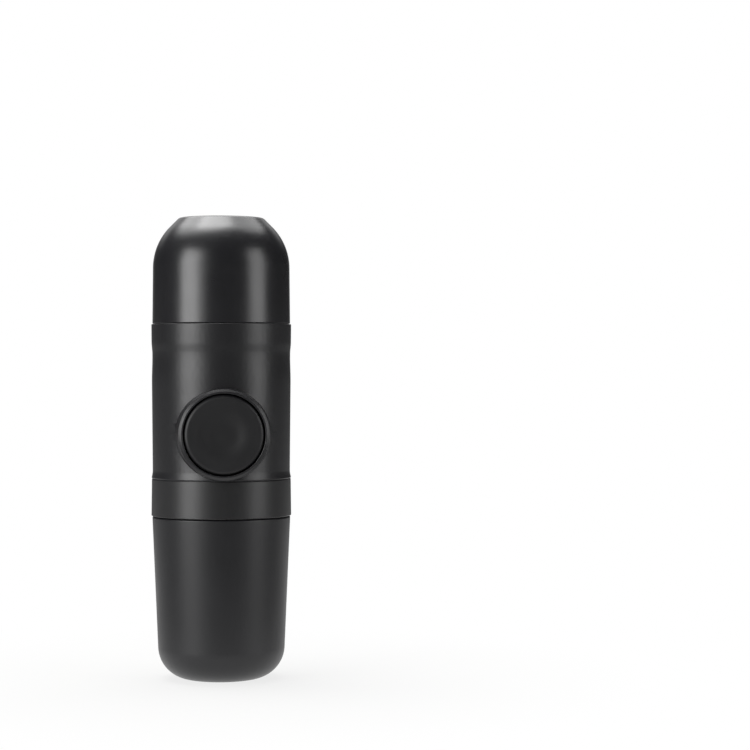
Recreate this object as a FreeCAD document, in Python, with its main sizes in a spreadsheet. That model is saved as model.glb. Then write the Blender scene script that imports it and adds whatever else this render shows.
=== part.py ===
"""Handheld manual espresso maker, as the assembly of its separate pieces.

Millimetres, +Z up, origin at the centre of the water tank's base. The pump knob faces -Y.
Every length is a cell of the spreadsheet Dims, and every piece is bound to those cells.
"""
import FreeCAD, Part
import math
import os
import Sketcher

doc = FreeCAD.newDocument("EspressoMaker")
sheet = doc.addObject("Spreadsheet::Sheet", "Dims")

SIZES = {
    # widest outline, at the collar's foot, from which everything round it steps in
    "body_radius": 30.0,
    # water tank
    "tank_height": 69.8,
    "tank_mouth_step": 0.4,
    "tank_taper": 3.0,
    "tank_corner_radius": 14.0,
    "tank_floor": 3.0,
    "tank_foot_wall": 3.5,
    "tank_bore_corner": 9.0,
    "tank_shoulder_round": 0.6,
    "neck_step": 3.5,
    "neck_wall": 1.6,
    "neck_height": 11.1,
    # collar and shell of the main body
    "tank_seam": 0.3,
    "ring_height": 15.9,
    "ring_draft": 0.2,
    "ring_edge_round": 0.35,
    "neck_clearance": 1.1,
    "spigot_height": 1.6,
    "spigot_wall": 1.8,
    "spigot_gap": 0.15,
    "ring_flange_thickness": 2.0,
    "shell_height": 66.3,
    "shell_seam_step": 0.4,
    "shell_flare": 0.6,
    "shell_wall": 1.8,
    "shell_rim_round": 0.4,
    # round boss that the knob slides in
    "boss_sink": 11.4,
    "boss_proud": 6.1,
    "boss_wall": 1.7,
    "boss_taper": 1.6,
    "boss_tuck": 0.75,
    "boss_edge_round": 0.5,
    # seals and working gaps
    "seal_gap": 0.1,
    "seat_gap": 0.2,
    "gasket_thickness": 1.0,
    "gasket_width": 2.0,
    "head_gasket_thickness": 1.3,
    "head_gasket_width": 2.8,
    # moulded core
    "plate_gap": 0.1,
    "plate_thickness": 3.5,
    "plenum_lip": 1.5,
    "plenum_depth": 1.5,
    "deck_depth": 11.8,
    "deck_thickness": 3.5,
    "deck_gap": 0.5,
    "screw_edge": 1.45,
    "screw_land": 3.5,
    "screw_waist_gap": 1.9,
    "screw_radius": 1.25,
    "screw_clearance": 0.15,
    "screw_head_radius": 2.6,
    "screw_head_height": 1.8,
    "screw_reach": 5.0,
    # valves
    "valve_offset": 8.5,
    "valve_side_gap": 1.3,
    "port_radius": 1.2,
    "suction_chamber_height": 7.6,
    "delivery_rise": 3.6,
    "delivery_chamber_height": 9.0,
    "seat_height": 1.6,
    "seat_fit": 0.1,
    "ball_radius": 2.2,
    "ball_gap": 0.1,
    "valve_wire": 0.5,
    "valve_coil_gap": 1.25,
    "valve_coil_turns": 5,
    # socket for the inlet nozzle
    "socket_wall": 4.03,
    "socket_fit": 0.1,
    "socket_sink": 5.3,
    "socket_rise": 6.3,
    "socket_foot": 1.5,
    "socket_rib": 1.3,
    "delivery_radius": 1.5,
    # intake strainer
    "strainer_gap": 0.3,
    "strainer_thickness": 1.5,
    "strainer_hole": 0.9,
    "strainer_pitch": 4.6,
    # pump
    "waist_wall": 2.0,
    "cylinder_bore": 8.0,
    "cylinder_wall": 2.0,
    "cylinder_end": 4.0,
    "cylinder_fit": 0.05,
    "cap_step": 2.0,
    "cap_thickness": 4.0,
    "cap_spigot": 2.0,
    "rod_radius": 4.0,
    "rod_fit": 0.07,
    "piston_start": 8.0,
    "piston_length": 8.0,
    "piston_gap": 0.4,
    "piston_groove": 2.4,
    "piston_groove_depth": 1.2,
    "seal_fit": 0.07,
    # knob and its spring
    "knob_radius": 16.7,
    "knob_gap": 0.5,
    "knob_proud": 0.8,
    "knob_length": 16.0,
    "knob_wall": 2.0,
    "knob_face_thickness": 3.0,
    "knob_round": 1.7,
    "dish_radius": 9.8,
    "dish_flat_radius": 5.0,
    "dish_depth": 0.9,
    "dish_round": 18.0,
    "hub_wall": 2.2,
    "hub_length": 9.0,
    "hub_floor": 0.9,
    "spring_wire": 1.2,
    "spring_gap": 2.33,
    "spring_turns": 5,
    # brew chamber
    "chamber_clearance": 3.25,
    "chamber_flange_height": 8.0,
    "chamber_floor": 2.4,
    "chamber_wall": 2.55,
    "chamber_ledge": 1.8,
    "chamber_edge_round": 0.5,
    "chamber_gasket_thickness": 0.8,
    "chamber_gasket_width": 0.5,
    "nozzle_length": 6.3,
    "nozzle_radius": 6.6,
    "nozzle_bore": 2.0,
    "nozzle_tip_gap": 0.8,
    "nozzle_groove_rise": 1.7,
    "nozzle_groove_height": 1.9,
    "nozzle_groove_depth": 0.6,
    "ring_seal_proud": 0.85,
    "socket_seal_fit": 0.12,
    "cover_height": 19.1,
    "cover_spigot_length": 4.2,
    "cover_spigot_gap": 0.25,
    "cover_roof": 3.2,
    "cover_round": 0.7,
    "outlet_nozzle_radius": 6.33,
    "outlet_nozzle_length": 5.9,
    "outlet_groove_drop": 1.4,
    "outlet_groove_height": 1.7,
    # filter basket and its two perforated discs
    "screen_gap": 0.3,
    "screen_thickness": 0.8,
    "screen_hole": 0.8,
    "screen_pitch": 4.5,
    "basket_wall": 0.6,
    "basket_side_gap": 0.3,
    "basket_rim_width": 1.2,
    "basket_rim_height": 0.8,
    "basket_lip": 2.4,
    "basket_lip_thickness": 0.7,
    "basket_roof_gap": 0.3,
    "filter_thickness": 0.7,
    "filter_hole": 0.65,
    "filter_pitch": 3.4,
    # outlet head
    "head_flange_step": 1.0,
    "head_wall": 2.0,
    "head_skirt_step": 0.9,
    "head_flange_height": 5.8,
    "head_neck_height": 0.6,
    "head_bead_rise": 2.8,
    "head_bead_half": 0.6,
    "head_bead": 0.4,
    "head_slope": 10.3,
    "head_dome_radius": 30.0,
    "head_socket_gap": 0.7,
    "head_socket_wall": 2.4,
    "head_socket_depth": 5.7,
    "head_web": 0.7,
    "valve_pocket_radius": 4.6,
    "valve_pocket_depth": 2.6,
    "recess_land": 1.7,
    "recess_depth": 7.0,
    "head_roof_thickness": 3.0,
    "head_roof_inset": 3.3,
    "head_haunch": 8.0,
    "spout_fit": 0.2,
    "spout_plate": 1.4,
    "spout_bore": 1.8,
    "spout_wall": 2.2,
    "spout_short": 1.6,
    "valve_fit": 0.2,
    "valve_slit": 0.8,
    # cup
    "cup_gap": 0.2,
    "cup_step": 0.45,
    "cup_draft": 0.35,
    "cup_wall": 1.9,
    "cup_lip_wall": 2.5,
    "cup_lip_height": 5.0,
    "cup_lip_slope": 1.8,
    "cup_fit": 0.35,
    "cup_headroom": 4.3,
    "cup_roof": 1.7,
    "cup_slope": 11.2,
    "cup_dome_radius": 25.0,
    "cup_rim_round": 0.3,
    "cup_top_round": 2.5,
}


class Size:
    """A length, and the spreadsheet expression that gives it."""

    def __init__(self, text, number):
        self.text = text
        self.number = float(number)

    def __add__(self, other):
        return joined(self, "+", other)

    def __sub__(self, other):
        return joined(self, "-", other)

    def __mul__(self, other):
        return joined(self, "*", other)

    def __truediv__(self, other):
        return joined(self, "/", other)


def as_size(value):
    """A plain number as a Size of its own."""
    return value if isinstance(value, Size) else Size(repr(float(value)), value)


def joined(left, sign, right):
    """Two sizes added, subtracted, multiplied or divided."""
    left, right = as_size(left), as_size(right)
    number = {
        "+": left.number + right.number,
        "-": left.number - right.number,
        "*": left.number * right.number,
        "/": left.number / right.number if right.number else 0.0,
    }[sign]
    return Size(f"({left.text} {sign} {right.text})", number)


class Sheet:
    """The sheet's cells by alias, each as a Size."""


dims = Sheet()
for row, (alias, number) in enumerate(SIZES.items(), start=1):
    sheet.set(f"A{row}", alias)
    sheet.set(f"B{row}", str(number))
    sheet.setAlias(f"B{row}", alias)
    setattr(dims, alias, Size(f"Dims.{alias}", number))
doc.recompute()


# ---------------------------------------------------------------- FreeCAD helpers

def bind(thing, name, size):
    """Tie a property to the sheet."""
    thing.setExpression(name, as_size(size).text)


def new_body(label):
    body = doc.addObject("PartDesign::Body", label)
    body.Label = label
    return body


def origin_plane(body, role):
    return next(plane for plane in body.Origin.OriginFeatures if plane.Role == role)


def new_sketch(body, name, plane, lift=None):
    """A sketch on one of its body's origin planes, lifted along the plane's normal."""
    sketch = body.newObject("Sketcher::SketchObject", name)
    sketch.AttachmentSupport = [(origin_plane(body, plane), "")]
    sketch.MapMode = "FlatFace"
    if lift is not None:
        bind(sketch, "AttachmentOffset.Base.z", lift)
    return sketch


def pin_point(sketch, geometry, point, across, up):
    """Hold a sketch point at (across, up) from the sketch's origin."""
    for kind, size, axis in (("DistanceX", across, -2), ("DistanceY", up, -1)):
        size = as_size(size)
        if size.number == 0:
            sketch.addConstraint(Sketcher.Constraint("PointOnObject", geometry, point, axis))
            continue
        held = Sketcher.Constraint(kind, -1, 1, geometry, point, size.number)
        bind(sketch, f"Constraints[{sketch.addConstraint(held)}]", size)


def polygon(sketch, corners):
    """A closed outline through corners given as (across, up)."""
    places = [FreeCAD.Vector(as_size(x).number, as_size(y).number, 0) for x, y in corners]
    count = len(corners)
    for index in range(count):
        edge = Part.LineSegment(places[index], places[(index + 1) % count])
        sketch.addGeometry(edge, False)
    for index in range(count):
        meet = Sketcher.Constraint("Coincident", index, 2, (index + 1) % count, 1)
        sketch.addConstraint(meet)
    for index, (across, up) in enumerate(corners):
        pin_point(sketch, index, 1, across, up)


def circle(sketch, across, up, radius):
    """A circle with its centre at (across, up)."""
    centre = FreeCAD.Vector(as_size(across).number, as_size(up).number, 0)
    normal = FreeCAD.Vector(0, 0, 1)
    index = sketch.addGeometry(Part.Circle(centre, normal, as_size(radius).number), False)
    pin_point(sketch, index, 3, across, up)
    held = Sketcher.Constraint("Radius", index, as_size(radius).number)
    bind(sketch, f"Constraints[{sketch.addConstraint(held)}]", radius)


def revolve(body, name, corners, kind="Revolution"):
    """Turn a polygon of (radius, height) corners about the body's Z axis."""
    sketch = new_sketch(body, f"{name}Profile", "XZ_Plane")
    polygon(sketch, corners)
    feature = body.newObject(f"PartDesign::{kind}", name)
    feature.Profile = sketch
    feature.ReferenceAxis = (sketch, ["V_Axis"])
    feature.Angle = 360
    doc.recompute()
    return feature


def cut(body, name, sketch, length=None, both_ways=False, reverse=False):
    """Pocket a sketch through everything, or to a length, and check that it cut."""
    before = body.Shape.Volume
    pocket = body.newObject("PartDesign::Pocket", name)
    pocket.Profile = sketch
    pocket.Reversed = reverse
    if length is None:
        pocket.Type = "ThroughAll"
        pocket.Midplane = both_ways
    else:
        bind(pocket, "Length", length)
    doc.recompute()
    if body.Shape.Volume >= before:
        raise RuntimeError(f"{body.Label}: {name} cut nothing")
    return pocket


def polar(body, name, feature, count):
    """Repeat a feature round the body's Z axis."""
    pattern = body.newObject("PartDesign::PolarPattern", name)
    pattern.Originals = [feature]
    pattern.Axis = (feature.Profile[0], ["N_Axis"])
    pattern.Angle = 360
    pattern.Occurrences = count
    body.Tip = pattern
    doc.recompute()
    return pattern


def soften(body, name, radius, rings):
    """Round the circular edges that lie at the given (radius, height) places."""
    places = [(as_size(across).number, as_size(up).number) for across, up in rings]
    base = body.Tip
    names = []
    for index, edge in enumerate(base.Shape.Edges, start=1):
        if not isinstance(edge.Curve, Part.Circle):
            continue
        centre, size = edge.Curve.Center, edge.Curve.Radius
        for across, up in places:
            if abs(size - across) < 1e-4 and abs(centre.z - up) < 1e-4:
                names.append(f"Edge{index}")
    if len(names) < len(places):
        raise RuntimeError(f"{body.Label}: {name} found {len(names)} of {len(places)} edges")
    feature = body.newObject("PartDesign::Fillet", name)
    feature.Base = (base, names)
    bind(feature, "Radius", radius)
    doc.recompute()
    return feature


def tube(label, inner, outer, low, high):
    """A plain ring, or a disc where inner is 0."""
    body = new_body(label)
    revolve(body, "Ring", [(inner, low), (outer, low), (outer, high), (inner, high)])
    return body


def drill_rings(body, disc, pitch, hole):
    """A central hole, and as many rings of six, twelve and more as the disc has room for."""
    centre = new_sketch(body, "CentreHole", "XY_Plane")
    circle(centre, 0, 0, hole)
    cut(body, "CentreCut", centre, both_ways=True)
    rings = (disc - hole) / pitch
    for ring in range(1, int(rings.number) + 1):
        sketch = new_sketch(body, f"Hole{ring}", "XY_Plane")
        circle(sketch, pitch * ring, 0, hole)
        pocket = cut(body, f"Cut{ring}", sketch, both_ways=True)
        polar(body, f"Ring{ring}", pocket, 6 * ring)


def coil(label, wire, radius, start, height, turns):
    """A round-wire coil about the body's Z axis."""
    body = new_body(label)
    sketch = new_sketch(body, "Wire", "XZ_Plane")
    circle(sketch, radius, start, wire / 2)
    helix = body.newObject("PartDesign::AdditiveHelix", "Coil")
    helix.Profile = sketch
    helix.ReferenceAxis = (sketch, ["V_Axis"])
    helix.Mode = "height-turns-angle"
    bind(helix, "Height", height)
    bind(helix, "Turns", turns)
    doc.recompute()
    return body


def lay_on_pump_axis(body):
    """Turn a piece made along +Z so that it points to -Y from the pump's back end."""
    body.Placement = FreeCAD.Placement(
        FreeCAD.Vector(0, cylinder_back.number, pump_axis.number),
        FreeCAD.Rotation(FreeCAD.Vector(1, 0, 0), 90),
    )
    bind(body, "Placement.Base.y", cylinder_back)
    bind(body, "Placement.Base.z", pump_axis)


def stand_on_valve_axis(body):
    """Shift a piece made on the Z axis back to the valves' axis."""
    bind(body, "Placement.Base.y", dims.valve_offset)


# ---------------------------------------------------------------- radii, from the outside in

tank_mouth_radius = dims.body_radius - dims.tank_mouth_step
tank_foot_radius = tank_mouth_radius - dims.tank_taper
tank_bore_foot_radius = tank_foot_radius - dims.tank_foot_wall
neck_radius = tank_mouth_radius - dims.neck_step
neck_bore = neck_radius - dims.neck_wall
ring_bore = neck_radius + dims.neck_clearance
ring_top_radius = dims.body_radius - dims.ring_draft
shell_foot_radius = ring_top_radius - dims.shell_seam_step
shell_rim_radius = shell_foot_radius + dims.shell_flare
shell_bore_foot = shell_foot_radius - dims.shell_wall
shell_bore_rim = shell_rim_radius - dims.shell_wall
spigot_radius = shell_bore_foot - dims.spigot_gap
spigot_bore = spigot_radius - dims.spigot_wall
plate_radius = spigot_bore - dims.plate_gap
deck_radius = shell_bore_foot - dims.deck_gap + dims.spigot_gap
screw_circle = plate_radius - dims.screw_head_radius - dims.screw_edge
ring_flange_bore = screw_circle - dims.screw_land
plenum_radius = ring_flange_bore - dims.plenum_lip
waist_radius = screw_circle - dims.screw_head_radius - dims.screw_waist_gap

boss_bore = dims.knob_radius + dims.knob_gap
boss_front_radius = boss_bore + dims.boss_wall
boss_foot_radius = boss_front_radius + dims.boss_taper
boss_root = shell_foot_radius - dims.boss_sink
boss_reach = shell_foot_radius + dims.boss_proud
knob_reach = boss_reach + dims.knob_proud
cylinder_back = waist_radius - dims.waist_wall
cylinder_length = cylinder_back + boss_root
cylinder_radius = dims.cylinder_bore + dims.cylinder_wall
cap_radius = cylinder_radius + dims.cap_step
hub_bore = dims.rod_radius + dims.rod_fit
hub_radius = hub_bore + dims.hub_wall
spring_radius = hub_radius + dims.spring_gap + dims.spring_wire / 2
valve_bore = dims.ball_radius + dims.valve_side_gap
valve_coil_radius = valve_bore - dims.valve_coil_gap - dims.valve_wire / 2

cup_rim_radius = shell_rim_radius - dims.cup_step
cup_shoulder_radius = cup_rim_radius - dims.cup_draft
cup_top_radius = cup_shoulder_radius - dims.cup_slope
cup_lip_bore = cup_rim_radius - dims.cup_lip_wall
head_bead_radius = cup_lip_bore - dims.cup_fit
head_flange_radius = head_bead_radius - dims.head_bead
head_radius = head_flange_radius - dims.head_flange_step
head_skirt_radius = head_flange_radius - dims.head_skirt_step
head_bore = head_radius - dims.head_wall
head_top_radius = head_radius - dims.head_slope
recess_radius = head_top_radius - dims.recess_land

chamber_flange_radius = head_bore - dims.chamber_clearance
chamber_radius = chamber_flange_radius - dims.chamber_ledge
chamber_bore = chamber_flange_radius - dims.chamber_wall
cover_spigot_radius = chamber_bore - dims.cover_spigot_gap
basket_rim_radius = chamber_bore - dims.basket_side_gap
basket_radius = basket_rim_radius - dims.basket_rim_width
basket_bore = basket_radius - dims.basket_wall
cover_bore = basket_radius + dims.basket_side_gap
inlet_groove_radius = dims.nozzle_radius - dims.nozzle_groove_depth
inlet_seal_radius = dims.nozzle_radius + dims.ring_seal_proud
outlet_groove_radius = dims.outlet_nozzle_radius - dims.nozzle_groove_depth
outlet_seal_radius = dims.outlet_nozzle_radius + dims.ring_seal_proud
socket_bore = inlet_seal_radius + dims.socket_seal_fit
socket_radius = socket_bore + dims.socket_wall
head_socket_bore = outlet_seal_radius + dims.socket_seal_fit
head_socket_radius = head_socket_bore + dims.head_socket_wall

# ---------------------------------------------------------------- levels, from the base up

ring_bottom = dims.tank_height + dims.tank_seam
shell_bottom = ring_bottom + dims.ring_height
rim = shell_bottom + dims.shell_height
pump_axis = shell_bottom + boss_foot_radius - dims.boss_tuck

neck_top = dims.tank_height + dims.neck_height
gasket_low = neck_top + dims.seal_gap
gasket_high = gasket_low + dims.gasket_thickness
ring_flange_low = gasket_high + dims.seal_gap
ring_flange_top = ring_flange_low + dims.ring_flange_thickness
plate_top = ring_flange_top + dims.plate_thickness
plenum_top = ring_flange_top + dims.plenum_depth

deck_top = rim - dims.deck_depth
deck_bottom = deck_top - dims.deck_thickness
socket_pocket = deck_top - dims.socket_sink
socket_low = socket_pocket + dims.socket_fit
socket_top = deck_top + dims.socket_rise
head_gasket_low = deck_top + dims.seal_gap
head_gasket_high = head_gasket_low + dims.head_gasket_thickness
head_low = head_gasket_high + dims.seal_gap

chamber_low = socket_top + dims.seat_gap
inlet_tip = chamber_low - dims.nozzle_length
socket_floor = inlet_tip - dims.nozzle_tip_gap
chamber_inside = chamber_low + dims.chamber_floor
base_top = chamber_low + dims.chamber_flange_height
cover_step = base_top + dims.chamber_gasket_thickness + dims.seat_gap
cover_top = cover_step + dims.cover_height
cover_inside = cover_top - dims.cover_roof
outlet_tip = cover_top + dims.outlet_nozzle_length

screen_low = chamber_inside + dims.screen_gap
screen_top = screen_low + dims.screen_thickness
basket_low = screen_top + dims.screen_gap
basket_rim_top = basket_low + dims.basket_rim_height
basket_top = cover_inside - dims.basket_roof_gap
basket_lip_low = basket_top - dims.basket_lip_thickness
filter_top = basket_lip_low - dims.screen_gap
filter_low = filter_top - dims.filter_thickness

head_socket_top = outlet_tip + dims.head_socket_gap
valve_pocket_low = head_socket_top + dims.head_web
recess_floor = valve_pocket_low + dims.valve_pocket_depth
head_top = recess_floor + dims.recess_depth
cup_low = rim + dims.cup_gap
cup_inside = head_top + dims.cup_headroom
cup_top = cup_inside + dims.cup_roof


# ---------------------------------------------------------------- water tank

def make_water_tank():
    """A tapered beaker with a rounded foot and a plain neck that stands in from its shoulder."""
    body = new_body("water_tank")
    revolve(body, "Wall", [
        (0, 0),
        (tank_foot_radius, 0),
        (tank_mouth_radius, dims.tank_height),
        (neck_radius, dims.tank_height),
        (neck_radius, neck_top),
        (neck_bore, neck_top),
        (tank_bore_foot_radius, dims.tank_floor),
        (0, dims.tank_floor),
    ])
    soften(body, "FootRound", dims.tank_corner_radius, [(tank_foot_radius, 0)])
    inner_corner = (tank_bore_foot_radius, dims.tank_floor)
    soften(body, "BoreRound", dims.tank_bore_corner, [inner_corner])
    shoulder = (tank_mouth_radius, dims.tank_height)
    soften(body, "ShoulderRound", dims.tank_shoulder_round, [shoulder])
    return body


def make_tank_gasket():
    middle = neck_radius - dims.neck_wall / 2
    half = dims.gasket_width / 2
    return tube("tank_gasket", middle - half, middle + half, gasket_low, gasket_high)


# ---------------------------------------------------------------- main body

def make_base_ring():
    """The collar round the tank's neck, with a spigot into the shell and a flange inside."""
    body = new_body("base_ring")
    revolve(body, "Collar", [
        (ring_bore, ring_bottom),
        (dims.body_radius, ring_bottom),
        (ring_top_radius, shell_bottom),
        (spigot_radius, shell_bottom),
        (spigot_radius, shell_bottom + dims.spigot_height),
        (spigot_bore, shell_bottom + dims.spigot_height),
        (spigot_bore, ring_flange_top),
        (ring_flange_bore, ring_flange_top),
        (ring_flange_bore, ring_flange_low),
        (ring_bore, ring_flange_low),
    ])
    edges = [(dims.body_radius, ring_bottom), (ring_top_radius, shell_bottom)]
    soften(body, "EdgeRound", dims.ring_edge_round, edges)
    drill_screw_holes(body)
    return body


def drill_screw_holes(body):
    """Four clearance holes on the screw circle, at 45 degrees to the pump's axis."""
    sketch = new_sketch(body, "ScrewHole", "XY_Plane")
    reach = screw_circle * math.sqrt(0.5)
    circle(sketch, reach, reach, dims.screw_radius + dims.screw_clearance)
    pocket = cut(body, "ScrewCut", sketch, both_ways=True)
    polar(body, "ScrewHoles", pocket, 4)


def make_body_shell():
    """The tube, with the round boss that grows out of its front and the bore through both."""
    body = new_body("body_shell")
    revolve(body, "Tube", [
        (0, shell_bottom),
        (shell_foot_radius, shell_bottom),
        (shell_rim_radius, rim),
        (0, rim),
    ])
    boss = body.newObject("PartDesign::AdditiveCone", "Boss")
    boss.Placement = FreeCAD.Placement(
        FreeCAD.Vector(0, -boss_root.number, pump_axis.number),
        FreeCAD.Rotation(FreeCAD.Vector(1, 0, 0), 90),
    )
    bind(boss, "Placement.Base.y", as_size(0) - boss_root)
    bind(boss, "Placement.Base.z", pump_axis)
    bind(boss, "Radius1", boss_foot_radius)
    bind(boss, "Radius2", boss_front_radius)
    bind(boss, "Height", boss_reach - boss_root)
    doc.recompute()
    past = dims.shell_wall
    revolve(body, "Bore", [
        (0, shell_bottom - past),
        (shell_bore_foot, shell_bottom - past),
        (shell_bore_foot, shell_bottom),
        (shell_bore_rim, rim),
        (shell_bore_rim, rim + past),
        (0, rim + past),
    ], kind="Groove")
    sketch = new_sketch(body, "BossBore", "XZ_Plane")
    circle(sketch, 0, pump_axis, boss_bore)
    cut(body, "BossCut", sketch, reverse=True)
    soften(body, "RimRound", dims.shell_rim_round, [(shell_rim_radius, rim)])
    soften_boss(body)
    return body


def soften_boss(body):
    """Round both edges of the boss's front."""
    base = body.Tip
    names = [
        f"Edge{index}"
        for index, edge in enumerate(base.Shape.Edges, start=1)
        if isinstance(edge.Curve, Part.Circle)
        and abs(edge.Curve.Center.y + boss_reach.number) < 1e-4
    ]
    if len(names) != 2:
        raise RuntimeError(f"{body.Label}: the boss's front has {len(names)} round edges")
    feature = body.newObject("PartDesign::Fillet", "BossRound")
    feature.Base = (base, names)
    bind(feature, "Radius", dims.boss_edge_round)
    doc.recompute()


def make_pump_chassis():
    """The moulded core: a foot plate, a round waist bored for pump and valves, and a deck."""
    body = new_body("pump_chassis")
    pocket_radius = socket_radius + dims.socket_fit
    revolve(body, "Spool", [
        (0, plenum_top),
        (plenum_radius, plenum_top),
        (plenum_radius, ring_flange_top),
        (plate_radius, ring_flange_top),
        (plate_radius, plate_top),
        (waist_radius, plate_top),
        (waist_radius, deck_bottom),
        (deck_radius, deck_bottom),
        (deck_radius, deck_top),
        (pocket_radius, deck_top),
        (pocket_radius, socket_pocket),
        (0, socket_pocket),
    ])
    back = as_size(0) - cylinder_back - dims.cylinder_fit
    barrel = new_sketch(body, "BarrelBore", "XZ_Plane", back)
    circle(barrel, 0, pump_axis, cylinder_radius + dims.cylinder_fit)
    cut(body, "BarrelCut", barrel, reverse=True)
    suction = new_sketch(body, "SuctionBore", "XY_Plane", plenum_top)
    circle(suction, 0, dims.valve_offset, valve_bore)
    cut(body, "SuctionCut", suction, dims.suction_chamber_height, reverse=True)
    inlet = new_sketch(body, "InletPort", "XY_Plane", plenum_top)
    circle(inlet, 0, dims.valve_offset, dims.port_radius)
    cut(body, "InletCut", inlet, pump_axis - plenum_top, reverse=True)
    delivery_low = pump_axis + cylinder_radius + dims.delivery_rise
    delivery = new_sketch(body, "DeliveryBore", "XY_Plane", delivery_low)
    circle(delivery, 0, dims.valve_offset, valve_bore)
    cut(body, "DeliveryCut", delivery, dims.delivery_chamber_height, reverse=True)
    outlet = new_sketch(body, "OutletPort", "XY_Plane", pump_axis)
    circle(outlet, 0, dims.valve_offset, dims.port_radius)
    cut(body, "OutletCut", outlet, socket_pocket - pump_axis, reverse=True)
    drill_screw_holes(body)
    return body


def make_nozzle_socket():
    """The insert that takes the brew chamber's inlet nozzle and its seal."""
    body = new_body("nozzle_socket")
    foot = socket_low + dims.socket_foot
    foot_bore = socket_radius - dims.socket_rib
    revolve(body, "Socket", [
        (foot_bore, socket_low),
        (socket_radius, socket_low),
        (socket_radius, socket_top),
        (socket_bore, socket_top),
        (socket_bore, socket_floor),
        (dims.delivery_radius, socket_floor),
        (dims.delivery_radius, foot),
        (foot_bore, foot),
    ])
    soften(body, "TopRound", dims.chamber_edge_round, [(socket_radius, socket_top)])
    return body


def make_intake_strainer():
    """The perforated disc over the pump's intake."""
    top = ring_flange_top - dims.seat_gap
    radius = ring_flange_bore - dims.strainer_gap
    body = tube("intake_strainer", 0, radius, top - dims.strainer_thickness, top)
    drill_rings(body, radius, dims.strainer_pitch, dims.strainer_hole)
    return body


def make_chassis_screws():
    """Four screws that hold the core's foot plate to the collar's flange."""
    pieces = []
    for index in range(4):
        turn = math.radians(45 + 90 * index)
        across = screw_circle * math.cos(turn)
        along = screw_circle * math.sin(turn)
        head = doc.addObject("Part::Cylinder", f"ScrewHead{index}")
        bind(head, "Radius", dims.screw_head_radius)
        bind(head, "Height", dims.screw_head_height)
        bind(head, "Placement.Base.z", plate_top)
        shank = doc.addObject("Part::Cylinder", f"ScrewShank{index}")
        bind(shank, "Radius", dims.screw_radius)
        bind(shank, "Height", dims.screw_reach)
        bind(shank, "Placement.Base.z", plate_top - dims.screw_reach)
        for piece in (head, shank):
            bind(piece, "Placement.Base.x", across)
            bind(piece, "Placement.Base.y", along)
        screw = doc.addObject("Part::Fuse", f"Screw{index}")
        screw.Base = head
        screw.Tool = shank
        pieces.append(screw)
    screws = doc.addObject("Part::Compound", "chassis_screws")
    screws.Label = "chassis_screws"
    screws.Links = pieces
    return screws


# ---------------------------------------------------------------- valves

suction_seat_low = plenum_top + dims.seat_gap
suction_seat_top = suction_seat_low + dims.seat_height
delivery_seat = pump_axis + cylinder_radius + dims.delivery_rise
ball_height = Size(
    "sqrt(Dims.ball_radius ^ 2 - Dims.port_radius ^ 2)",
    math.sqrt(SIZES["ball_radius"] ** 2 - SIZES["port_radius"] ** 2),
)


def make_inlet_seat():
    body = tube(
        "inlet_seat", dims.port_radius, valve_bore - dims.seat_fit,
        suction_seat_low, suction_seat_top,
    )
    stand_on_valve_axis(body)
    return body


def make_ball(label, seat):
    """A ball just clear of the edge of the port that it closes."""
    ball = doc.addObject("Part::Sphere", label)
    ball.Label = label
    bind(ball, "Radius", dims.ball_radius)
    bind(ball, "Placement.Base.y", dims.valve_offset)
    bind(ball, "Placement.Base.z", seat + ball_height + dims.ball_gap)
    return ball


def make_outlet_spring():
    """The small coil that holds the delivery ball down."""
    ball_top = delivery_seat + ball_height + dims.ball_gap + dims.ball_radius
    low = ball_top + dims.ball_gap + dims.valve_wire / 2
    high = delivery_seat + dims.delivery_chamber_height - dims.ball_gap - dims.valve_wire / 2
    body = coil(
        "outlet_spring", dims.valve_wire, valve_coil_radius, low, high - low,
        dims.valve_coil_turns,
    )
    stand_on_valve_axis(body)
    return body


# ---------------------------------------------------------------- pump, made along +Z from its back end

cap_front = cylinder_length + dims.cap_thickness
knob_face = cylinder_back + knob_reach
knob_back = knob_face - dims.knob_length
knob_inside = knob_face - dims.knob_face_thickness
rod_end = knob_inside - dims.hub_floor
groove_radius = dims.cylinder_bore - dims.piston_gap - dims.piston_groove_depth
groove_low = dims.piston_start + (dims.piston_length - dims.piston_groove) / 2


def make_pump_cylinder():
    body = new_body("pump_cylinder")
    revolve(body, "Barrel", [
        (0, 0),
        (cylinder_radius, 0),
        (cylinder_radius, cylinder_length),
        (dims.cylinder_bore, cylinder_length),
        (dims.cylinder_bore, dims.cylinder_end),
        (0, dims.cylinder_end),
    ])
    ports = new_sketch(body, "Ports", "XZ_Plane")
    circle(ports, 0, cylinder_back - dims.valve_offset, dims.port_radius)
    cut(body, "PortCut", ports, both_ways=True)
    lay_on_pump_axis(body)
    return body


def make_cylinder_cap():
    """The barrel's front cap, which guides the rod and stops the piston."""
    body = new_body("cylinder_cap")
    spigot = dims.cylinder_bore - dims.seat_fit
    spigot_low = cylinder_length - dims.cap_spigot
    revolve(body, "Cap", [
        (hub_bore, spigot_low),
        (spigot, spigot_low),
        (spigot, cylinder_length),
        (cap_radius, cylinder_length),
        (cap_radius, cap_front),
        (hub_bore, cap_front),
    ])
    soften(body, "CapRound", dims.chamber_edge_round, [(cap_radius, cap_front)])
    lay_on_pump_axis(body)
    return body


def make_piston():
    """Rod and grooved head, turned in one piece."""
    body = new_body("piston")
    head_radius_here = dims.cylinder_bore - dims.piston_gap
    head_end = dims.piston_start + dims.piston_length
    revolve(body, "Turned", [
        (0, dims.piston_start),
        (head_radius_here, dims.piston_start),
        (head_radius_here, groove_low),
        (groove_radius, groove_low),
        (groove_radius, groove_low + dims.piston_groove),
        (head_radius_here, groove_low + dims.piston_groove),
        (head_radius_here, head_end),
        (dims.rod_radius, head_end),
        (dims.rod_radius, rod_end),
        (0, rod_end),
    ])
    lay_on_pump_axis(body)
    return body


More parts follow.
